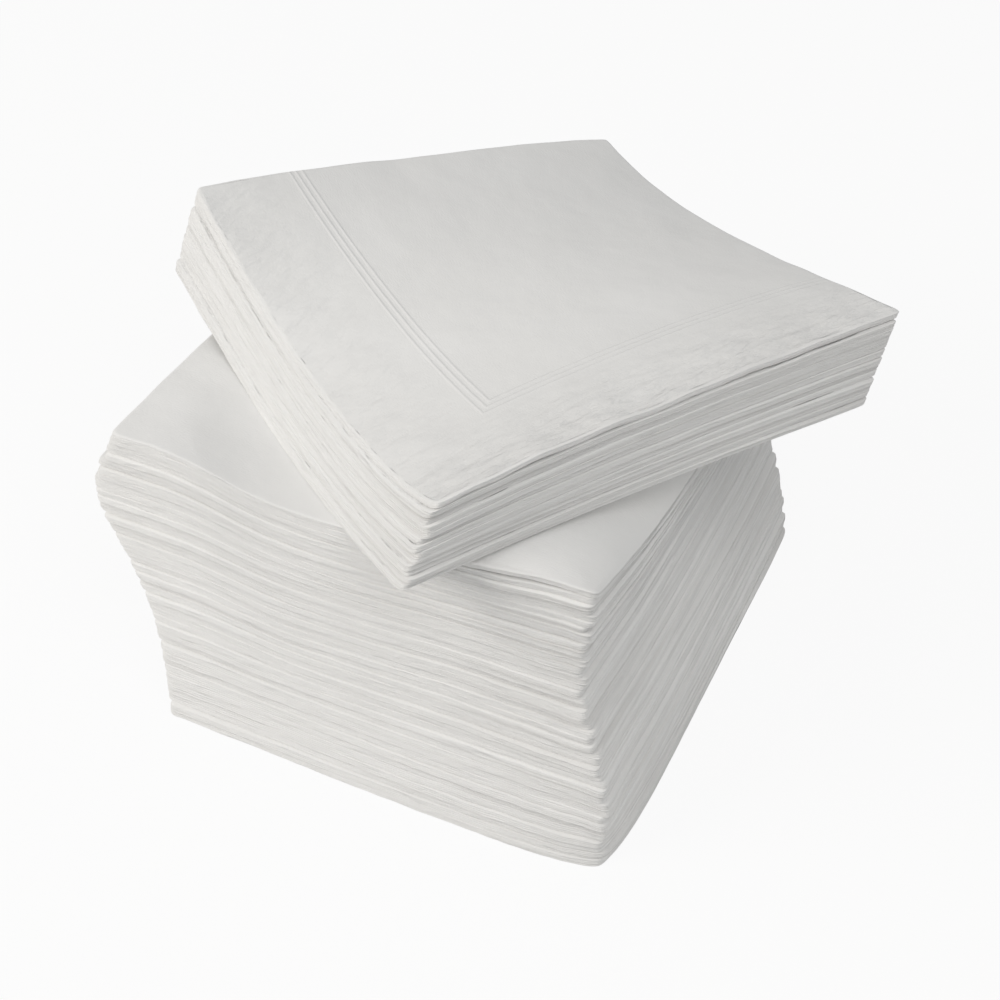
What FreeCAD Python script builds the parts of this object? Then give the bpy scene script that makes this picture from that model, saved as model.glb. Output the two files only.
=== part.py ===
import FreeCAD, Part
import math
import os
import Sketcher

# A loose stack of paper napkins, each one folded twice into a square of four leaves.
# A lower pile lies on the table and a thinner, sagging pile lies askew on top of it.
# Millimetres, +Z up. The origin is the middle of the lowest napkin's resting face.
# +Y points from the cut leaves in front to the first fold behind,
# and +X points from the second fold to the cut leaves at the right.

SIZES = {
    # one folded napkin
    "napkin_side": 127.0,
    "leaf": 0.34,
    "slit": 0.07,
    # the piles
    "rest_gap": 0.02,
    "lower_count": 43,
    "upper_count": 13,
    # the lower pile stands higher in front, where the cut leaves spring open:
    # the slope of its top napkin, in degrees
    "lower_slope": 8.3,
    # it leans, and its middle bulges the same way
    "lean_x": -11.0,
    "lean_y": 13.0,
    "bulge_x": -7.0,
    "bulge_y": 4.0,
    # the upper pile: turned on the lower one, pushed back, leaning and sagging in the middle
    "upper_turn": -35.0,
    "upper_x": -2.0,
    "upper_y": 20.0,
    "upper_lean_x": -1.5,
    "upper_lean_y": 9.0,
    "upper_sag": 8.5,
    # how far single napkins stray from their pile, in millimetres and degrees
    "stray_shift": 0.7,
    "stray_turn": 0.6,
}

# the strays follow sines of the napkin's place, with steps that never fall in beat
STRAY_STEP_X = 2.4
STRAY_STEP_Y = 3.9
STRAY_STEP_TURN = 1.7

ALONG_X = FreeCAD.Vector(1, 0, 0)
ALONG_Y = FreeCAD.Vector(0, 1, 0)
UPRIGHT = FreeCAD.Vector(0, 0, 1)

# every napkin is sized by the same expressions
THICKNESS = "(4 * Sizes.leaf + 3 * Sizes.slit)"
PAIR = "(2 * Sizes.leaf + Sizes.slit)"


def make_sheet(doc):
    sheet = doc.addObject("Spreadsheet::Sheet", "Sizes")
    for row, (name, value) in enumerate(SIZES.items(), start=1):
        sheet.set("A%d" % row, name)
        sheet.set("B%d" % row, str(value))
        sheet.setAlias("B%d" % row, name)
    doc.recompute()
    return sheet


def origin_sketch(body, name, role):
    sketch = body.newObject("Sketcher::SketchObject", name)
    plane = [f for f in body.Origin.OriginFeatures if f.Role == role][0]
    sketch.AttachmentSupport = (plane, "")
    sketch.MapMode = "FlatFace"
    return sketch


def bound(sketch, kind, *where_and_value):
    """Adds a dimension and binds it to the expression given last."""
    *where, value, expression = where_and_value
    index = sketch.addConstraint(Sketcher.Constraint(kind, *where, value))
    sketch.setExpression("Constraints[%d]" % index, expression)


def draw_outline(sketch, corners):
    """A closed outline of level and upright lines, the first one level."""
    points = [FreeCAD.Vector(across, up, 0) for across, up in corners]
    lines = [sketch.addGeometry(Part.LineSegment(p, q), False)
             for p, q in zip(points, points[1:] + points[:1])]
    for place, line in enumerate(lines):
        following = lines[(place + 1) % len(lines)]
        sketch.addConstraint(Sketcher.Constraint("Coincident", line, 2, following, 1))
        sketch.addConstraint(Sketcher.Constraint("Horizontal" if place % 2 == 0 else "Vertical", line))
    return lines


def draw_channel(sketch, opening, closed, foot, arm, inside):
    """Two level arms joined by an upright wall as thick as they are, like a C on its back.

    Each size is a pair: its value and its expression.
    """
    open_at, shut_at, foot_at = opening[0], closed[0], foot[0]
    inward = math.copysign(arm[0], open_at - shut_at)
    roof_at = foot_at + 2 * arm[0] + inside[0]
    lines = draw_outline(sketch, [
        (open_at, foot_at), (shut_at, foot_at), (shut_at, roof_at), (open_at, roof_at),
        (open_at, roof_at - arm[0]), (shut_at + inward, roof_at - arm[0]),
        (shut_at + inward, foot_at + arm[0]), (open_at, foot_at + arm[0])])
    base, wall, roof, upper_end, upper_face, inner_wall, lower_face, lower_end = lines
    bound(sketch, "DistanceX", -1, 1, base, 1, open_at, opening[1])
    bound(sketch, "DistanceX", -1, 1, base, 2, shut_at, closed[1])
    bound(sketch, "DistanceY", -1, 1, base, 2, foot_at, foot[1])
    bound(sketch, "DistanceY", upper_end, 2, upper_end, 1, arm[0], arm[1])
    bound(sketch, "DistanceY", lower_end, 2, lower_end, 1, arm[0], arm[1])
    bound(sketch, "DistanceY", inner_wall, 2, inner_wall, 1, inside[0], inside[1])
    bound(sketch, "DistanceX", inner_wall, 1, wall, 1, -inward,
          arm[1] if inward < 0 else "-%s" % arm[1])
    sketch.addConstraint(Sketcher.Constraint("PointOnObject", lower_end, 1, upper_end))


def draw_leaf_pair(sketch, sheet, foot):
    """Two leaves joined by the first fold at +Y and cut open at -Y."""
    half = sheet.napkin_side / 2
    draw_channel(sketch, (-half, "-Sizes.napkin_side / 2"), (half, "Sizes.napkin_side / 2"), foot,
                 arm=(sheet.leaf, "Sizes.leaf"), inside=(sheet.slit, "Sizes.slit"))


def add_second_fold(body, sheet):
    """At -X the outer leaves turn round the inner ones: a block as thick as the napkin, slit in a C."""
    half_side = sheet.napkin_side / 2
    pair = 2 * sheet.leaf + sheet.slit
    half_thick = pair + sheet.slit / 2
    end = origin_sketch(body, "FoldEnd", "YZ_Plane")
    base, wall, roof, other_wall = draw_outline(end, [
        (-half_side, -half_thick), (half_side, -half_thick), (half_side, half_thick), (-half_side, half_thick)])
    bound(end, "DistanceX", -1, 1, base, 2, half_side, "Sizes.napkin_side / 2")
    bound(end, "DistanceX", base, 1, base, 2, 2 * half_side, "Sizes.napkin_side")
    bound(end, "DistanceY", -1, 1, base, 2, -half_thick, "-%s / 2" % THICKNESS)
    bound(end, "DistanceY", wall, 1, wall, 2, 2 * half_thick, THICKNESS)
    block = body.newObject("PartDesign::Pad", "SecondFold")
    block.Profile = end
    block.Reversed = True
    block.setExpression("Length", PAIR)
    slit = origin_sketch(body, "FoldSlit", "XZ_Plane")
    slit.AttachmentOffset = FreeCAD.Placement(FreeCAD.Vector(0, 0, half_side), FreeCAD.Rotation())
    slit.setExpression("AttachmentOffset.Base.z", "Sizes.napkin_side / 2")
    draw_channel(slit, (0.0, "0"), (-sheet.leaf - sheet.slit, "-Sizes.leaf - Sizes.slit"),
                 (sheet.leaf - half_thick, "Sizes.leaf - %s / 2" % THICKNESS),
                 arm=(sheet.slit, "Sizes.slit"), inside=(pair, PAIR))
    pocket = body.newObject("PartDesign::Pocket", "BetweenPairs")
    pocket.Profile = slit
    pocket.setExpression("Length", "Sizes.napkin_side - Sizes.leaf")


def start_napkin(doc, sheet, label):
    """A body with its second fold and the section of its four leaves."""
    body = doc.addObject("PartDesign::Body", "Napkin")
    body.Label = label
    add_second_fold(body, sheet)
    section = origin_sketch(body, "LeavesSection", "YZ_Plane")
    draw_leaf_pair(section, sheet, (-2 * sheet.leaf - 1.5 * sheet.slit, "-%s / 2" % THICKNESS))
    draw_leaf_pair(section, sheet, (sheet.slit / 2, "Sizes.slit / 2"))
    return body, section


def flat_napkin(doc, sheet, label):
    body, section = start_napkin(doc, sheet, label)
    leaves = body.newObject("PartDesign::Pad", "Leaves")
    leaves.Profile = section
    leaves.setExpression("Length", "Sizes.napkin_side - %s" % PAIR)
    return body


def bent_napkin(doc, sheet, label, radius, radius_expression):
    """A napkin whose leaves curve about a line along Y, at the bend's radius above its middle."""
    body, section = start_napkin(doc, sheet, label)
    ends = [FreeCAD.Vector(y, radius, 0) for y in (0, sheet.napkin_side / 2)]
    bend_line = section.addGeometry(Part.LineSegment(*ends), True)
    section.addConstraint(Sketcher.Constraint("Horizontal", bend_line))
    section.addConstraint(Sketcher.Constraint("PointOnObject", bend_line, 1, -2))
    bound(section, "DistanceY", -1, 1, bend_line, 1, radius, radius_expression)
    bound(section, "DistanceX", bend_line, 1, bend_line, 2, sheet.napkin_side / 2, "Sizes.napkin_side / 2")
    leaves = body.newObject("PartDesign::Revolution", "Leaves")
    leaves.Profile = section
    leaves.ReferenceAxis = (section, ["Axis0"])
    leaves.Reversed = True
    arc = "(Sizes.napkin_side - %s) / (%s)" % (PAIR, radius_expression)
    leaves.setExpression("Angle", "%s * 180 / pi" % arc)
    return body


def stray(sheet, place):
    """How far one napkin has slid and turned from its pile."""
    return (sheet.stray_shift * math.sin(STRAY_STEP_X * place),
            sheet.stray_shift * math.sin(STRAY_STEP_Y * place),
            sheet.stray_turn * math.sin(STRAY_STEP_TURN * place))


def resting_height(sheet, pitch, place, y):
    """Height of the face on which the lower pile's napkin of this place lies: all faces close up behind."""
    behind = sheet.napkin_side / 2 + sheet.lean_y + sheet.stray_shift
    return place * pitch + (behind - y) * math.tan(resting_slope(sheet, place))


def resting_slope(sheet, place):
    return math.radians(sheet.lower_slope) * place / (sheet.lower_count - 1)


def build_lower_pile(doc, sheet, thickness, pitch):
    count = int(sheet.lower_count)
    middle = sheet.napkin_side / 2 - 2 * sheet.leaf - sheet.slit
    for place in range(count):
        body = flat_napkin(doc, sheet, "lower_napkin_%02d" % (place + 1))
        height = place / (count - 1)
        bulge = 4 * height * (1 - height)
        slide_x, slide_y, turn = stray(sheet, place)
        slope = resting_slope(sheet, place)
        x = sheet.lean_x * height + sheet.bulge_x * bulge + slide_x
        y = sheet.lean_y * height + sheet.bulge_y * bulge + slide_y
        z = resting_height(sheet, pitch, place, y) + thickness / 2 / math.cos(slope)
        lying = FreeCAD.Rotation(ALONG_X, -math.degrees(slope)) * FreeCAD.Rotation(UPRIGHT, turn)
        body.Placement = (FreeCAD.Placement(FreeCAD.Vector(x, y, z), lying)
                          * FreeCAD.Placement(FreeCAD.Vector(-middle, 0, 0), FreeCAD.Rotation()))


def build_upper_pile(doc, sheet, thickness, pitch):
    """All bends share one line, so the napkins nest, and the lowest rests on the lower pile at its middle."""
    count = int(sheet.upper_count)
    lowest_radius = sheet.napkin_side ** 2 / (8 * sheet.upper_sag)
    bend_height = thickness / 2 + lowest_radius
    middle = sheet.napkin_side / 2 - 2 * sheet.leaf - sheet.slit
    top_place = sheet.lower_count - 1
    slope = resting_slope(sheet, top_place)
    floor = (resting_height(sheet, pitch, top_place, sheet.upper_y)
             + thickness / math.cos(slope) + sheet.rest_gap)
    lying = FreeCAD.Rotation(ALONG_X, -math.degrees(slope)) * FreeCAD.Rotation(UPRIGHT, sheet.upper_turn)
    pile = FreeCAD.Placement(FreeCAD.Vector(sheet.upper_x, sheet.upper_y, floor), lying)
    for place in range(count):
        radius = lowest_radius - place * pitch
        radius_expression = ("Sizes.napkin_side ^ 2 / (8 * Sizes.upper_sag) - %d * (%s + Sizes.rest_gap)"
                             % (place, THICKNESS))
        body = bent_napkin(doc, sheet, "upper_napkin_%02d" % (place + 1), radius, radius_expression)
        height = place / (count - 1)
        slide_x, slide_y, _ = stray(sheet, place)
        along_bend = math.degrees((middle - sheet.upper_lean_x * height - slide_x) / radius)
        across = FreeCAD.Vector(0, sheet.upper_lean_y * height + slide_y, bend_height)
        body.Placement = (pile * FreeCAD.Placement(across, FreeCAD.Rotation(ALONG_Y, along_bend))
                          * FreeCAD.Placement(FreeCAD.Vector(0, 0, -radius), FreeCAD.Rotation()))


def export(doc):
    failed = [item.Label for item in doc.Objects if {"Invalid", "Error"} & set(item.State)]
    if failed:
        raise RuntimeError("not computed: %s" % ", ".join(failed))
    bodies = doc.findObjects("PartDesign::Body")
    for body in bodies:
        if body.Shape.isNull() or not body.Shape.isValid() or len(body.Shape.Solids) != 1:
            raise RuntimeError("%s is not one sound solid" % body.Label)
    os.makedirs("parts", exist_ok=True)
    for body in bodies:
        body.Shape.exportStep("parts/%s.step" % body.Label)


def main():
    doc = FreeCAD.newDocument("NapkinStack")
    sheet = make_sheet(doc)
    thickness = 4 * sheet.leaf + 3 * sheet.slit
    pitch = thickness + sheet.rest_gap
    build_lower_pile(doc, sheet, thickness, pitch)
    build_upper_pile(doc, sheet, thickness, pitch)
    doc.recompute()
    export(doc)


main()
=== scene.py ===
import math
import bpy
from mathutils import Matrix, Vector


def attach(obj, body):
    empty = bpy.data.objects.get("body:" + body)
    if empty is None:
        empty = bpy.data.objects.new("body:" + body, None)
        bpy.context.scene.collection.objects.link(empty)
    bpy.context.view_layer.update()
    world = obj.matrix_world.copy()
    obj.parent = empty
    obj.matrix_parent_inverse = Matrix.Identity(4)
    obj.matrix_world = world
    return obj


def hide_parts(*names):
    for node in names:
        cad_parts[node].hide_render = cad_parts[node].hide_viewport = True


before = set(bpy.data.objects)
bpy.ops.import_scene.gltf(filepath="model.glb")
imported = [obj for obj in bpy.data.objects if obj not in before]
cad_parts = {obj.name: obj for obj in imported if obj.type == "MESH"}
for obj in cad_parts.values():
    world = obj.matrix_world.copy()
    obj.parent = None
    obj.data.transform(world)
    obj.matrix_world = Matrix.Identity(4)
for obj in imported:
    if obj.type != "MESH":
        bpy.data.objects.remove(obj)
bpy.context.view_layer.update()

# A loose stack of folded paper napkins: a tall leaning pile and a sagging one askew on it.
# Sizes are millimetres, turned to metres where a mesh is made.
# A napkin's own x runs from its second fold at the left to the cut leaves at its right,
# and its own y from the cut leaves in front to its first fold behind.
# A height or depth without a unit is a share of the whole pile's or the whole napkin's.

MM = 0.001
LOWER = sorted(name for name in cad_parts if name.startswith("lower_napkin"))
UPPER = sorted(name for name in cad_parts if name.startswith("upper_napkin"))

HALF = 63.5
LEAVES = 4
THICKNESS = 1.8
FULL_TURN = 2 * math.pi

# how far single napkins have slid and turned from their pile
STRAY_SHIFT, STRAY_TURN = 0.3, 0.5
STRAY_STEPS = (2.4, 3.9, 1.7)

# the lower pile leans, and bulges in its middle
LEAN = (-11.0, 13.0)
BULGE = (-6.5, 4.0)
BULGE_HEIGHT, BULGE_REACH, BULGE_START = 0.62, 0.33, 0.1
# the folds at its left spring out, most of all at this height
SPRING, SPRING_HEIGHT, SPRING_REACH = 7.4, 0.76, 0.22
# the lowest napkins' front corner is crushed in
CRUSHED, CRUSHED_REACH, CRUSHED_TIGHTNESS = 4.0, 0.13, 10.0
# its cut leaves in front reach further forward at the foot, and at the top near the right
FOOT_SPREAD, FOOT_REACH = 2.2, 0.16
TOP_SPREAD, TOP_TIGHTNESS, TOP_SPREAD_PLACE, TOP_SPREAD_WIDTH = 3.0, 7.0, 33.0, 20.0
# its bulges die away below the topmost napkin, and the lowest napkins lie flat, just off the floor
BELOW_TOP = 8.0
FLAT_NAPKINS, LOWEST = 3.0, 0.02
# its topmost napkin has risen a little off the next one, in front near the right
RISEN = {"x": (34.0, 13.0), "y": (-54.0, 12.0), "height": 1.1}

# the upper pile's turn and place, how its top has slid against its foot and narrowed,
# how far its overhanging corner is tucked in, and the gap under it
UPPER_TURN = -35.0
UPPER_PLACE = (-2.0, 20.0)
UPPER_SLIDE = (-3.5, 11.5)
UPPER_NARROWING = 0.014
CORNER_TUCK = 3.5
CLEARANCE = 0.05
# its two topmost napkins have risen along their cut ends at the right
RISEN_TOP, RISEN_NEXT = 0.9, 0.7
# how tightly that keeps to the right, stays open towards the back, and keeps to the front
RISEN_RIGHT, RISEN_BACK, RISEN_FRONT = 8.0, 6.0, 2.0
UNEVEN = {"per_mm": 0.07, "start": 71.0, "depth": 1.1, "mean": 0.6, "limits": (0.05, 1.6)}
# what follows a leaf outwards stops at this share of the napkin's width
PAST_EDGE = 1.2

# three soft faces: heights at their corners, from front left round to back left,
# and how deep their front, right, back and left edges sag
LOWER_TOP = {"corners": (87.0, 87.5, 66.0, 70.0), "sags": (0.0, 9.0, 0.0, 0.0)}
UPPER_FOOT = {"corners": (91.0, 88.8, 83.5, 63.2), "sags": (10.0, -1.6, 7.2, 1.0)}
UPPER_TOP = {"corners": (111.0, 105.5, 104.0, 78.4), "sags": (13.5, -2.0, 7.8, -1.8)}
# the front edge sags more to the right of its middle, the back edge more to the left
SAG_SKEW = (0.2, -0.6)
# the upper pile's faces are this much higher in their middle than their edges tell
CROWN = 3.5
# the upper pile's underside goes on a little way outside its outline
FOOT_LIMIT = 1.3
# behind its right edge the lower pile swells up to the pile that lies on it
SWELL, SWELL_ACROSS, SWELL_ALONG = 12.0, 6.0, 4.0
# the lower pile's top is pressed into the shape of what lies on it, also close beside it
PRESS_SOFTNESS = 4.0
PRESS_FADE = (0.02, 0.009)

# the leaves cockle: a wave's noise per mm, the napkins that share it, and its height
LOWER_WAVES = ({"per_mm": 0.022, "napkins": 6.0, "start": 0.0, "height": 1.6},
               {"per_mm": 0.07, "napkins": 3.0, "start": 0.0, "height": 0.5})
UPPER_WAVES = ({"per_mm": 0.022, "napkins": 5.0, "start": 9.0, "height": 0.9},
               {"per_mm": 0.08, "napkins": 3.0, "start": 0.0, "height": 0.4})
CORNER_WAVES = ({"per_mm": 0.12, "napkins": 2.0, "start": 50.0, "height": 0.8},)
# how tightly the ripples keep to the front and to the right
RIPPLE_FRONT, RIPPLE_RIGHT = 4.0, 3.0
# the waves are full at a napkin's rim and weaker towards its middle
WAVE_AT_RIM = 0.8
RIM_TIGHTNESS = 6.0

# the edges of the leaves: slits between napkins, slits between leaves, and the lips beside them
NAPKIN_SLIT = 0.75
LEAF_SLIT = 0.55
FOLD_SLIT = 0.4
LIP = 0.08
LIP_CLOSENESS = 0.56
EDGE_CLOSED = 0.94
RIGHT_OPENNESS = 2.0
# cut leaves are ragged: slow waves, fine wear, and one shift for each leaf
RAGGED = ({"per_mm": 0.025, "detail": 0.0, "stretch": 1.0, "start": 0.0,
           "front": 0.35, "right": 0.0, "all_round": 0.15},
          {"per_mm": 0.16, "detail": 2.0, "stretch": 1.0, "start": 31.0,
           "front": 0.40, "right": 0.06, "all_round": 0.06},
          {"per_mm": 0.004, "detail": 0.0, "stretch": 3.1, "start": 0.0,
           "front": 0.80, "right": 0.80, "all_round": 0.15})
# a few leaves at the right stand proud of the rest, but not at the corners
PROUD = {"per_mm": 0.006, "stretch": 7.7, "start": 3.0, "rareness": 3.0, "length": 5.0, "corners": 12.0}
# what sets one napkin's and one leaf's noise apart from the next one's
NAPKIN_STEP, LEAF_STEP = 5.3, 1.7

# the skin of one napkin: rows down a leaf's edge, rows under it, and steps and rings over it
ROWS_PER_LEAF = 4
UNDER_ROWS = 5
PLAIN_SKIN = {"Steps a side": 56, "Rings": 7}
FINE_SKIN = {"Steps a side": 96, "Rings": 70}
# the share of a napkin's place in its pile that its paper fills
FILLED = 0.985
# a square with high powers for its corners, shorter steps near them, and sides blended over them
SHARPNESS = 90.0
CORNER_CROWDING = 0.6
CORNER_BLEND = 0.04
# added before a whole number is taken, so that it isn't taken for the one below
ROW_GUARD, RUN_GUARD = 0.01, 0.0005
# two places on a leaf's edge are the same within this share of it
SAME_PLACE = 0.1
# the skin's seam and its two middles are joined within this distance
WELD = 0.005

# the paper: white two-ply tissue
TISSUE_SHADES = ((0.835, 0.830, 0.815, 1), (0.885, 0.883, 0.876, 1))
# painted shade: the dark colour the streaks mix in, standing for the shade in the gaps between the leaves
PAINTED_SHADE_COLOUR = (0.62, 0.61, 0.595, 1)
ROUGHNESS, GLOSS, SHEEN = 0.92, 0.25, 0.15
# its grain: noise per mm in both directions and per napkin
CREPE = {"per_x": 0.9, "per_y": 2.6, "per_level": 1.0, "start": 0.0, "detail": 3.0}
COCKLE = {"per_x": 0.05, "per_y": 0.05, "per_level": 1.0, "start": 3.0, "detail": 3.0}
CRUMPLE = {"per_x": 0.24, "per_y": 0.08, "per_level": 1.0, "start": 7.0, "detail": 4.0}
MOTTLE = {"per_x": 0.03, "per_y": 0.03, "per_level": 1.0, "start": 11.0, "detail": 2.0}
STREAK = {"per_x": 0.012, "per_y": 0.012, "per_level": 2.6, "start": 21.0, "detail": 2.0}
CRUMPLE_SLANT = (5 / 24, 3 / 8)
# heights of its relief, the streaks' at the right and anywhere
CREPE_HEIGHT, COCKLE_HEIGHT, LINE_DEPTH = 0.04, 0.55, 0.13
STREAK_HEIGHT = (0.10, 0.02)
# how much the streaks of painted shade between the leaves darken it at the right and anywhere, and how
# sharply
PAINTED_SHADE_STRENGTH, STREAK_CONTRAST, STREAK_RARENESS = (0.75, 0.10), 0.9, 2.0
# how tightly they keep to the right
TOWARDS_RIGHT = 3.0
# lines pressed along the two cut sides, this far from the edge, and the crumpled band outside them
LINES_FROM_EDGE, LINE_WIDTH = (26.2, 28.0, 29.8), 0.35
BAND_WIDTH, BAND_SOFTNESS, BAND_RIGHT, BAND_FRONT = 26.0, 0.6, 1.5, 0.8
# from this share of a napkin's depth on it is its upper face, and not its edge
FACE_LEVEL, FACE_BLEND = 0.972, 0.015

# the camera stands in front, to the right and well above
CAMERA_AZIMUTH, CAMERA_ELEVATION, CAMERA_ROLL = 26.55, 46.4, -1.84
CAMERA_DISTANCE = 491.8
CAMERA_TARGET = (4.96, -1.02, 50.0)
LENS_OF_SENSOR = 1.919
SENSOR = 36.0
NEAR_LIMIT = 0.01

# two soft lamps, in metres and watts
LAMPS = {"window_left": {"azimuth": -50, "elevation": 34, "distance": 0.9, "size": 0.6,
                         "power": 3.55, "colour": (1.0, 0.96, 0.91)},
         "window_right": {"azimuth": 58, "elevation": 58, "distance": 1.0, "size": 0.7,
                          "power": 2.9, "colour": (1.0, 0.985, 0.965)}}
LAMP_AIM = Vector((0, 0, 0.05))
# how bright the sky lights the paper, and how much of the floor's shade the white hides
SKY_LEVEL, SKY_COLOUR = 0.39, (0.975, 0.99, 1, 1)
WHITE = (1, 1, 1, 1)
FLOOR_WHITENESS, FLOOR_COLOUR = 0.91, (0.78, 0.78, 0.78, 1)
FLOOR_REACH = 12.0


class Value:
    """A socket that can be reckoned with in expressions."""

    def __init__(self, graph, socket):
        self.graph = graph
        self.socket = socket

    def maths(self, operation, *others):
        return self.graph.value("ShaderNodeMath", {"operation": operation}, [self, *others])

    def __add__(self, other):
        return self.maths("ADD", other)

    def __sub__(self, other):
        return self.maths("SUBTRACT", other)

    def __rsub__(self, other):
        return self.graph.value("ShaderNodeMath", {"operation": "SUBTRACT"}, [other, self])

    def __mul__(self, other):
        return self.maths("MULTIPLY", other)

    def __truediv__(self, other):
        return self.maths("DIVIDE", other)

    def __pow__(self, other):
        return self.maths("POWER", other)

    def __abs__(self):
        return self.maths("ABSOLUTE")

    __radd__ = __add__

    def above(self, other):
        return self.maths("GREATER_THAN", other)

    def below(self, other):
        return self.maths("LESS_THAN", other)

    def least(self, other):
        return self.maths("MINIMUM", other)

    def most(self, other):
        return self.maths("MAXIMUM", other)

    def between(self, low, high):
        return self.most(low).least(high)

    def floor(self):
        return self.maths("FLOOR")

    def fraction(self):
        return self.maths("FRACT")

    def sine(self):
        return self.maths("SINE")

    def cosine(self):
        return self.maths("COSINE")

    def root(self):
        return self.maths("SQRT")

    def hump(self, middle, width):
        """One at the middle, falling off smoothly over the width."""
        away = (self - middle) / width
        return (away * away * -1.0).maths("EXPONENT")


class Graph:
    """A node tree, with one way to add any node."""

    def __init__(self, tree):
        self.tree = tree

    def node(self, kind, settings=None, values=(), **named):
        node = self.tree.nodes.new(kind)
        for name, setting in (settings or {}).items():
            setattr(node, name, setting)
        for place, given in enumerate(values):
            self.give(node.inputs[place], given)
        for name, given in named.items():
            self.give(node.inputs[name.replace("_", " ")], given)
        return node

    def give(self, socket, given):
        if isinstance(given, Value):
            self.tree.links.new(given.socket, socket)
        else:
            socket.default_value = given

    def value(self, kind, settings=None, values=(), output=0, **named):
        return Value(self, self.node(kind, settings, values, **named).outputs[output])

    def vector(self, x, y, z):
        return self.value("ShaderNodeCombineXYZ", None, [x, y, z])

    def parts(self, vector):
        split = self.node("ShaderNodeSeparateXYZ", None, [vector])
        return [Value(self, socket) for socket in split.outputs]

    def noise(self, vector, w, scale=1.0, detail=0.0):
        """Smooth noise from -1 to 1."""
        cloud = self.value("ShaderNodeTexNoise", {"noise_dimensions": "4D"},
                           Vector=vector, W=w, Scale=scale, Detail=detail)
        return cloud * 2.0 - 1.0

    def waves(self, spot, level, kinds):
        """The heights of several kinds of wave together."""
        return sum(self.noise(spot, level / kind["napkins"] + kind["start"], kind["per_mm"]) * kind["height"]
                   for kind in kinds)

    def blend(self, share, first, second):
        """A colour between two, by a share from 0 to 1."""
        mix = self.node("ShaderNodeMix", {"data_type": "RGBA"})
        self.give(mix.inputs[0], share)
        self.give(mix.inputs[6], first)
        self.give(mix.inputs[7], second)
        return Value(self, mix.outputs[2])


def stray(place):
    """How far one napkin has slid and turned from its pile."""
    shift_x, shift_y, turn = (math.sin(step * place) for step in STRAY_STEPS)
    return STRAY_SHIFT * shift_x, STRAY_SHIFT * shift_y, math.radians(STRAY_TURN * turn)


def turned(x, y, angle):
    """Both coordinates after a turn by an angle that is the same everywhere."""
    if isinstance(angle, Value):
        cosine, sine = angle.cosine(), angle.sine()
    else:
        cosine, sine = math.cos(angle), math.sin(angle)
    return x * cosine - y * sine, x * sine + y * cosine


def upper_own(x, y):
    """World coordinates in the upper pile's own directions."""
    return turned(x - UPPER_PLACE[0], y - UPPER_PLACE[1], math.radians(-UPPER_TURN))


def rising(own):
    """Nothing at a napkin's left or front edge, and one at its right or back edge."""
    return own * (0.5 / HALF) + 0.5


def falling(own):
    """One at a napkin's left or front edge, and nothing at its right or back edge."""
    return 0.5 - own * (0.5 / HALF)


def hanging(place):
    """One in the middle of an edge and nothing at its ends."""
    return (1.0 - place * place).most(0.0)


def soft_face(across, along, corners, sags):
    """Height of a square sheet held at its corners, at places from -1 to 1."""
    right, back = across * 0.5 + 0.5, along * 0.5 + 0.5
    left, front = 1.0 - right, 1.0 - back
    level = (left * front * corners[0] + right * front * corners[1]
             + right * back * corners[2] + left * back * corners[3])
    front_sag, back_sag = (hanging(across) * (across * skew + 1.0) for skew in SAG_SKEW)
    return (level - front * front_sag * sags[0] - right * hanging(along) * sags[1]
            - back * back_sag * sags[2] - left * hanging(along) * sags[3])


def upper_face(across, along, face):
    """Height of the upper pile's underside or top."""
    return soft_face(across, along, **face) + hanging(across) * hanging(along) * CROWN


def upper_foot(own_x, own_y):
    """Height of the upper pile's underside, also a little way outside it."""
    across, along = ((own / HALF).between(-FOOT_LIMIT, FOOT_LIMIT) for own in (own_x, own_y))
    return upper_face(across, along, UPPER_FOOT)


def lower_top(x, y):
    """Height of the lower pile's top: free, or pressed into the shape of what lies on it."""
    across, along = (x - LEAN[0]) / HALF, (y - LEAN[1]) / HALF
    middle = (1.0 - across ** SWELL_ACROSS).most(0.0) * (1.0 - along ** SWELL_ALONG).most(0.0)
    swell = middle * (across * 0.5 + 0.5).most(0.0)
    free = soft_face(across, along, **LOWER_TOP) + swell * SWELL
    own_x, own_y = upper_own(x, y)
    beside = (abs(own_x) - HALF).most(0.0)
    before = (own_y * -1.0 - HALF).most(0.0)
    fade = beside * beside * PRESS_FADE[0] + before * before * PRESS_FADE[1]
    pressed = upper_foot(own_x, own_y) + fade
    return pressed.maths("SMOOTH_MIN", free, PRESS_SOFTNESS)


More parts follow.
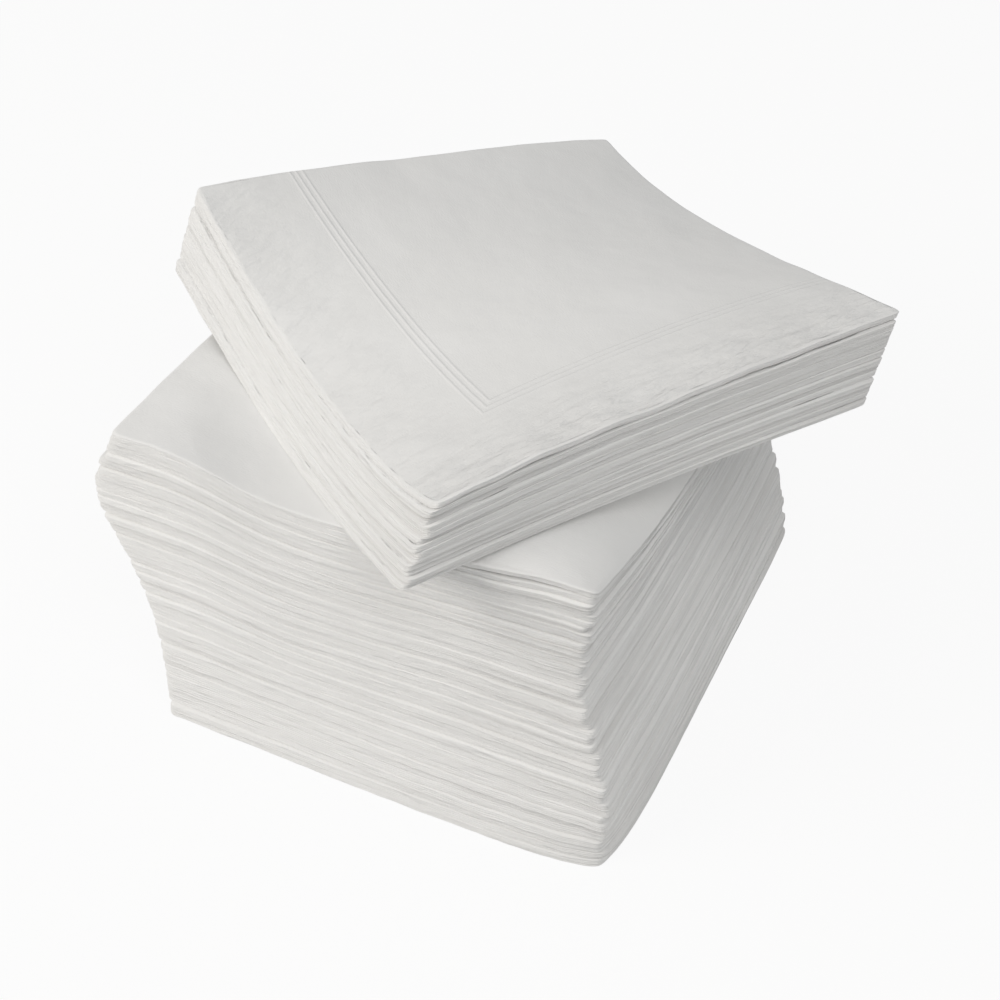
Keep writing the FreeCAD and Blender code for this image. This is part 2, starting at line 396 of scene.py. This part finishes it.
def lay_in_lower(graph, own_x, own_y, level, rim, place):
    """The lower pile leans, bulges, and is pressed down under the upper one."""
    height = level / float(len(LOWER))
    below_top = 1.0 - height.most(0.0) ** BELOW_TOP
    started = (height / BULGE_START).between(0.0, 1.0)
    bulge = height.hump(BULGE_HEIGHT, BULGE_REACH) * started * below_top
    left, right, front = falling(own_x), rising(own_x).most(0.0), falling(own_y).most(0.0)
    spring = left * height.hump(SPRING_HEIGHT, SPRING_REACH) * below_top * SPRING
    corner = right ** CRUSHED_TIGHTNESS * front ** CRUSHED_TIGHTNESS
    crushed = corner * height.hump(0.0, CRUSHED_REACH) * CRUSHED
    at_foot = height.hump(0.0, FOOT_REACH) * FOOT_SPREAD
    at_top = height.most(0.0) ** TOP_TIGHTNESS * own_x.hump(TOP_SPREAD_PLACE, TOP_SPREAD_WIDTH) * TOP_SPREAD
    x = own_x + height * LEAN[0] + bulge * BULGE[0] - spring - crushed
    y = own_y + height * LEAN[1] + height * (1.0 - height) * 4.0 * BULGE[1] + crushed
    y = y - front * front * (at_foot + at_top)
    spot = graph.vector(x, y, 0.0)
    # the leaves' cut ends ripple near the front corner
    near_corner = front ** RIPPLE_FRONT * right ** RIPPLE_RIGHT
    wave = graph.waves(spot, level, LOWER_WAVES)
    wave = wave + graph.waves(spot, level, CORNER_WAVES) * near_corner * below_top
    loose = (level / FLAT_NAPKINS).between(0.0, 1.0)
    z = height * lower_top(x, y) + wave * loose * (rim * WAVE_AT_RIM + (1.0 - WAVE_AT_RIM))
    risen = place.above(len(LOWER) - 1.5) * x.hump(*RISEN["x"]) * y.hump(*RISEN["y"])
    z = z + risen * RISEN["height"]
    return x, y, z.most(LOWEST)


def lay_in_upper(graph, own_x, own_y, level, rim, place):
    """The upper pile lies askew, sags in its middle and droops at its back corner."""
    height = level / float(len(UPPER))
    back_left = falling(own_x).between(0.0, PAST_EDGE) ** 2.0 * rising(own_y).between(0.0, PAST_EDGE)
    shifted_x = own_x * (1.0 - height * UPPER_NARROWING) + height * UPPER_SLIDE[0]
    shifted_y = own_y + height * UPPER_SLIDE[1] - back_left * CORNER_TUCK
    x, y = turned(shifted_x, shifted_y, math.radians(UPPER_TURN))
    x, y = x + UPPER_PLACE[0], y + UPPER_PLACE[1]
    foot = upper_foot(own_x, own_y)
    top = upper_face(own_x / HALF, own_y / HALF, UPPER_TOP)
    wave = graph.waves(graph.vector(x, y, 40.0), level, UPPER_WAVES)
    wave = wave * (rim * WAVE_AT_RIM + (1.0 - WAVE_AT_RIM)) * height
    z = foot + height * (top - foot) + wave + CLEARANCE
    # the gap under the topmost napkin is uneven, and closes towards the back corner
    at_right = rising(own_x).between(0.0, PAST_EDGE) ** RISEN_RIGHT
    uneven = graph.noise(graph.vector(0.0, own_y, 0.0), UNEVEN["start"], UNEVEN["per_mm"])
    uneven = (uneven * UNEVEN["depth"] + UNEVEN["mean"]).between(*UNEVEN["limits"])
    before_corner = 1.0 - rising(own_y).between(0.0, 1.0) ** RISEN_BACK
    topmost = place.above(len(UPPER) - 1.5) * uneven * before_corner
    next_one = place.above(len(UPPER) - 2.5) * falling(own_y).between(0.0, PAST_EDGE) ** RISEN_FRONT
    z = z + at_right * (topmost * RISEN_TOP + next_one * RISEN_NEXT)
    return x, y, z


def near_side(run, side):
    """One along one side of the outline, fading to a half at its two corners."""
    away = abs(run - (side + 0.5))
    away = away.least(4.0 - away)
    return ((0.5 - away) / CORNER_BLEND + 0.5).between(0.0, 1.0)


def outline(run):
    """Places from -1 to 1 round a napkin, and how near its front, right, back and left side are.

    The run goes from 0 to 4, by one for each side, in shorter steps near the corners.
    """
    corner = (run + RUN_GUARD).floor().least(3.0)
    along = run - corner
    along = along - (along * FULL_TURN).sine() * (CORNER_CROWDING / FULL_TURN)
    run = corner + along
    unit_x = run.between(0.0, 1.0) * 2.0 - (run - 2.0).between(0.0, 1.0) * 2.0 - 1.0
    unit_y = (run - 1.0).between(0.0, 1.0) * 2.0 - (run - 3.0).between(0.0, 1.0) * 2.0 - 1.0
    rounding = (abs(unit_x) ** SHARPNESS + abs(unit_y) ** SHARPNESS) ** (-1.0 / SHARPNESS)
    sides = [near_side(run, side) for side in range(4)]
    return unit_x * rounding, unit_y * rounding, sides


def leaf_edges(side, side_rows, sides):
    """The leaf that a row of the edge is on, its depth in the napkin, and how far it is drawn in."""
    front, right, back, left = sides
    boundary = (side / float(ROWS_PER_LEAF)).floor()
    quarter = (side / float(ROWS_PER_LEAF)).fraction()
    leaf = boundary.least(float(LEAVES - 1))
    in_slit = quarter.below(SAME_PLACE)
    on_lip = abs(quarter - 0.5).above(SAME_PLACE) * (1.0 - in_slit)
    # the lips of a leaf lie close to its slits
    eased = quarter + on_lip * (quarter - 0.5) * LIP_CLOSENESS
    depth = 1.0 - (leaf + eased) / float(LEAVES)
    # the edges stand a little apart from the next napkin's
    depth = (depth - 0.5) * EDGE_CLOSED + 0.5
    depth = depth.most(side.below(0.5))
    depth = depth * (1.0 - side.above(side_rows - 0.5))

    outer_slit = boundary.below(0.5) + boundary.above(LEAVES - 0.5)
    middle_slit = boundary.above(1.5) * boundary.below(2.5)
    cut_inset = in_slit * (outer_slit * (NAPKIN_SLIT - LEAF_SLIT) + LEAF_SLIT) + on_lip * LIP
    # the first fold, behind, is round over each pair of leaves, the second, at the left, over both pairs
    pair = (depth * 2.0).fraction() * 2.0 - 1.0
    whole = depth * 2.0 - 1.0
    pair_round, whole_round = ((1.0 - (1.0 - part * part).most(0.0).root()) * (THICKNESS / LEAVES)
                               for part in (pair, whole))
    back_inset = (in_slit * (outer_slit * NAPKIN_SLIT + middle_slit * LEAF_SLIT)).most(pair_round)
    left_inset = whole_round + in_slit * outer_slit * FOLD_SLIT
    inset = cut_inset * (front + right * RIGHT_OPENNESS) + back_inset * back + left_inset * left
    return leaf, depth, inset


def raggedness(graph, unit_x, unit_y, layer, front, right):
    """How far a leaf's edge strays outwards from its outline."""
    spot = graph.vector(unit_x * HALF, unit_y * HALF, 0.0)
    ragged = 0.0
    for kind in RAGGED:
        cloud = graph.noise(spot, layer * kind["stretch"] + kind["start"], kind["per_mm"], kind["detail"])
        ragged = cloud * (front * kind["front"] + right * kind["right"] + kind["all_round"]) + ragged
    proud = graph.noise(spot, layer * PROUD["stretch"] + PROUD["start"], PROUD["per_mm"])
    proud = proud.most(0.0) ** PROUD["rareness"] * (1.0 - abs(unit_y) ** PROUD["corners"])
    return ragged + proud * right * PROUD["length"]


NUMBERS = {"Place": "NodeSocketFloat", "Slide X": "NodeSocketFloat", "Slide Y": "NodeSocketFloat",
           "Turn": "NodeSocketFloat", "Steps a side": "NodeSocketInt", "Rings": "NodeSocketInt"}


def napkin_tree(name, lay_down):
    """A folded napkin as one closed skin, swept round its outline, and laid into its pile."""
    tree = bpy.data.node_groups.new(name, "GeometryNodeTree")
    tree.interface.new_socket(name="Napkin", in_out="OUTPUT", socket_type="NodeSocketGeometry")
    sockets = {label: tree.interface.new_socket(name=label, in_out="INPUT", socket_type=kind).identifier
               for label, kind in (NUMBERS | {"Paper": "NodeSocketMaterial"}).items()}
    graph = Graph(tree)
    given = graph.node("NodeGroupInput")
    place, slide_x, slide_y, turn, steps, rings = (Value(graph, given.outputs[label]) for label in NUMBERS)

    side_rows = LEAVES * ROWS_PER_LEAF
    around = steps * 4.0 + 1.0
    down = rings + float(side_rows + UNDER_ROWS + 1)
    grid = graph.value("GeometryNodeMeshGrid", Size_X=1.0, Size_Y=1.0, Vertices_X=around, Vertices_Y=down)
    at_x, at_y, _ = graph.parts(graph.value("GeometryNodeInputPosition"))
    unit_x, unit_y, sides = outline((at_x + 0.5) * (around - 1.0) / steps)
    front, right = sides[:2]

    # down the skin: over the top, past the leaves' edges, and back under
    row = ((at_y + 0.5) * (down - 1.0) + ROW_GUARD).floor()
    over = (row / rings).between(0.0, 1.0)
    side = (row - rings).between(0.0, float(side_rows))
    under = ((row - rings - float(side_rows)) / float(UNDER_ROWS)).between(0.0, 1.0)
    reach = (1.0 - (1.0 - over) ** 2.0) * (1.0 - under ** 2.0)
    leaf, depth, inset = leaf_edges(side, side_rows, sides)

    # cut leaves go each their own way, folds don't
    layer = place * NAPKIN_STEP + leaf * LEAF_STEP * (front + right)
    half = raggedness(graph, unit_x, unit_y, layer, front, right) + HALF - inset
    flat_x, flat_y = unit_x * reach * half, unit_y * reach * half
    level = place + depth * FILLED + (1.0 - FILLED) / 2
    own_x, own_y = turned(flat_x, flat_y, turn)
    x, y, z = lay_down(graph, own_x + slide_x, own_y + slide_y, level, reach ** RIM_TIGHTNESS, place)

    # the paper's relief follows the place on the flat napkin, so it is noted before the napkin is laid
    noted = graph.value("GeometryNodeStoreNamedAttribute", {"data_type": "FLOAT_VECTOR", "domain": "POINT"},
                        Geometry=grid, Name="on_napkin", Value=graph.vector(flat_x, flat_y, level))
    laid = graph.value("GeometryNodeSetPosition", Geometry=noted,
                       Position=graph.vector(x * MM, y * MM, z * MM))
    closed = graph.value("GeometryNodeMergeByDistance", Geometry=laid, Distance=WELD * MM)
    smooth = graph.value("GeometryNodeSetShadeSmooth", Geometry=closed)
    real = graph.value("GeometryNodeRealizeInstances", Geometry=smooth)
    coated = graph.value("GeometryNodeSetMaterial", Geometry=real,
                         Material=Value(graph, given.outputs["Paper"]))
    graph.node("NodeGroupOutput", None, [coated])
    return tree, sockets


def make_napkin(name, tree, sockets, place, skin, paper):
    mesh = bpy.data.meshes.new(name + "_seed")
    maker = bpy.data.objects.new(name + "_maker", mesh)
    bpy.context.scene.collection.objects.link(maker)
    modifier = maker.modifiers.new("fold", "NODES")
    modifier.node_group = tree
    slide_x, slide_y, turn = stray(place)
    inputs = {"Place": float(place), "Slide X": slide_x, "Slide Y": slide_y, "Turn": turn, "Paper": paper}
    for label, value in (inputs | skin).items():
        modifier[sockets[label]] = value
    bpy.context.view_layer.update()
    depsgraph = bpy.context.evaluated_depsgraph_get()
    folded = bpy.data.meshes.new_from_object(maker.evaluated_get(depsgraph))
    folded.name = name
    bpy.data.objects.remove(maker)
    bpy.data.meshes.remove(mesh)
    napkin = bpy.data.objects.new(name, folded)
    bpy.context.scene.collection.objects.link(napkin)
    return napkin


def grain(graph, x, y, level, per_x, per_y, per_level, start, detail):
    """Noise over the paper, which also changes from napkin to napkin."""
    return graph.noise(graph.vector(x * per_x, y * per_y, level * per_level), start, 1.0, detail)


def pressed_border(graph, x, y, level):
    """Fine lines pressed along the two cut sides, and a crumpled band outside them."""
    from_front = y + HALF
    from_right = HALF - x
    inside = from_front.least(from_right)
    lines = sum(inside.hump(line, LINE_WIDTH) for line in LINES_FROM_EDGE)
    band_right, band_front = ((1.0 - away / BAND_WIDTH).between(0.0, 1.0) ** BAND_SOFTNESS
                              for away in (from_right, from_front))
    on_face = ((level.fraction() - FACE_LEVEL) / FACE_BLEND).between(0.0, 1.0)
    slant_x, slant_y = x + y * CRUMPLE_SLANT[0], y - x * CRUMPLE_SLANT[1]
    crumple = grain(graph, slant_x, slant_y, level, **CRUMPLE) * on_face
    return crumple * (band_right * BAND_RIGHT).most(band_front * BAND_FRONT) - lines * LINE_DEPTH


def tissue(name, pressed):
    """White two-ply tissue: matt, finely creped, streaked with painted shade between its leaves, and with a
    pressed border where asked.
    """
    material = bpy.data.materials.new(name)
    material.use_nodes = True
    tree = material.node_tree
    tree.nodes.clear()
    graph = Graph(tree)
    spot = graph.value("ShaderNodeAttribute", {"attribute_name": "on_napkin"}, output=1)
    x, y, level = graph.parts(spot)
    # creping is short soft ridges across the sheet, cockles are as wide as a finger,
    # and the leaves' edges show as fine streaks, sharpest at the right: a little relief, and painted shade
    # between the leaves
    crepe, cockle, mottle, streak = (grain(graph, x, y, level, **kind)
                                     for kind in (CREPE, COCKLE, MOTTLE, STREAK))
    towards_right = rising(x).between(0.0, 1.0) ** TOWARDS_RIGHT
    height = crepe * CREPE_HEIGHT + cockle * COCKLE_HEIGHT + pressed_border(graph, x, y, level) * pressed
    height = height + streak * (towards_right * STREAK_HEIGHT[0] + STREAK_HEIGHT[1])
    bump = graph.value("ShaderNodeBump", Strength=1.0, Distance=MM, Height=height)
    plain = graph.blend((mottle * 0.5 + 0.5).between(0.0, 1.0), *TISSUE_SHADES)
    # painted shade: the streaks darken the paper's colour where shade falls between the leaves, most at the
    # right
    painted_shade_share = (streak * STREAK_CONTRAST + 0.5).between(0.0, 1.0) ** STREAK_RARENESS
    painted_shade_share = painted_shade_share * (towards_right * PAINTED_SHADE_STRENGTH[0] + PAINTED_SHADE_STRENGTH[1])
    colour = graph.blend(painted_shade_share, plain, PAINTED_SHADE_COLOUR)
    surface = graph.node("ShaderNodeBsdfPrincipled", Base_Color=colour, Roughness=ROUGHNESS, Normal=bump,
                         Specular_IOR_Level=GLOSS, Sheen_Weight=SHEEN)
    end = graph.node("ShaderNodeOutputMaterial")
    tree.links.new(surface.outputs[0], end.inputs[0])
    return material


def build_piles():
    plain, bordered = tissue("plain_tissue", 0.0), tissue("bordered_tissue", 1.0)
    piles = ((LOWER, "Lower napkin", lay_in_lower, plain), (UPPER, "Upper napkin", lay_in_upper, bordered))
    for names, title, lay_down, paper in piles:
        tree, sockets = napkin_tree(title, lay_down)
        for place, node in enumerate(names):
            skin = FINE_SKIN if node == names[-1] else PLAIN_SKIN
            name = node.replace("napkin", "folded_napkin")
            napkin = make_napkin(name, tree, sockets, place, skin, paper)
            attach(napkin, "root")
            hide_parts(node)


def backwards(azimuth, elevation):
    """The direction from the stack to what looks at it or lights it."""
    return Vector((math.sin(azimuth) * math.cos(elevation), -math.cos(azimuth) * math.cos(elevation),
                   math.sin(elevation)))


def add_camera():
    azimuth, elevation, roll = (math.radians(a) for a in (CAMERA_AZIMUTH, CAMERA_ELEVATION, CAMERA_ROLL))
    back = backwards(azimuth, elevation)
    level = Vector((math.cos(azimuth), math.sin(azimuth), 0.0))
    upright = back.cross(level)
    right = level * math.cos(roll) + upright * math.sin(roll)
    up = upright * math.cos(roll) - level * math.sin(roll)
    camera = bpy.data.objects.new("camera", bpy.data.cameras.new("camera"))
    camera.data.sensor_width = SENSOR
    camera.data.lens = SENSOR * LENS_OF_SENSOR
    camera.data.clip_start = NEAR_LIMIT
    place = (Vector(CAMERA_TARGET) + back * CAMERA_DISTANCE) * MM
    camera.matrix_world = Matrix.Translation(place) @ Matrix((right, up, back)).transposed().to_4x4()
    bpy.context.scene.collection.objects.link(camera)
    bpy.context.scene.camera = camera


def add_lamp(name, azimuth, elevation, distance, size, power, colour):
    back = backwards(math.radians(azimuth), math.radians(elevation))
    data = bpy.data.lights.new(name, "AREA")
    data.shape = "DISK"
    data.size = size
    data.energy = power
    data.color = colour
    lamp = bpy.data.objects.new(name, data)
    lamp.location = back * distance + LAMP_AIM
    lamp.rotation_euler = back.to_track_quat("Z", "Y").to_euler()
    bpy.context.scene.collection.objects.link(lamp)


def show_white(graph, lit, white, share, output):
    """Let the camera, gloss and glass see white, and everything else the surface as it is lit."""
    path = graph.node("ShaderNodeLightPath")
    camera, glossy, through = (Value(graph, path.outputs[ray]) for ray in
                               ("Is Camera Ray", "Is Glossy Ray", "Is Transmission Ray"))
    mix = graph.node("ShaderNodeMixShader")
    graph.give(mix.inputs[0], camera.most(glossy).most(through) * share)
    graph.tree.links.new(lit.outputs[0], mix.inputs[1])
    graph.tree.links.new(white.outputs[0], mix.inputs[2])
    end = graph.node(output)
    graph.tree.links.new(mix.outputs[0], end.inputs[0])


def add_sky():
    world = bpy.data.worlds.new("studio")
    bpy.context.scene.world = world
    world.use_nodes = True
    world.node_tree.nodes.clear()
    graph = Graph(world.node_tree)
    sky = graph.node("ShaderNodeBackground", Color=SKY_COLOUR, Strength=SKY_LEVEL)
    white = graph.node("ShaderNodeBackground", Color=WHITE, Strength=1.0)
    show_white(graph, sky, white, 1.0, "ShaderNodeOutputWorld")


def add_floor():
    mesh = bpy.data.meshes.new("floor")
    reach = FLOOR_REACH
    corners = [(-reach, -reach, 0), (reach, -reach, 0), (reach, reach, 0), (-reach, reach, 0)]
    mesh.from_pydata(corners, [], [(0, 1, 2, 3)])
    floor = bpy.data.objects.new("floor", mesh)
    bpy.context.scene.collection.objects.link(floor)
    material = bpy.data.materials.new("floor_white")
    material.use_nodes = True
    material.node_tree.nodes.clear()
    graph = Graph(material.node_tree)
    matt = graph.node("ShaderNodeBsdfDiffuse", Color=FLOOR_COLOUR)
    white = graph.node("ShaderNodeEmission", Color=WHITE, Strength=1.0)
    show_white(graph, matt, white, FLOOR_WHITENESS, "ShaderNodeOutputMaterial")
    mesh.materials.append(material)


bpy.context.scene.view_settings.view_transform = "Standard"
build_piles()
add_camera()
add_sky()
for lamp_name, lamp_facts in LAMPS.items():
    add_lamp(lamp_name, **lamp_facts)
add_floor()

bpy.context.view_layer.update()
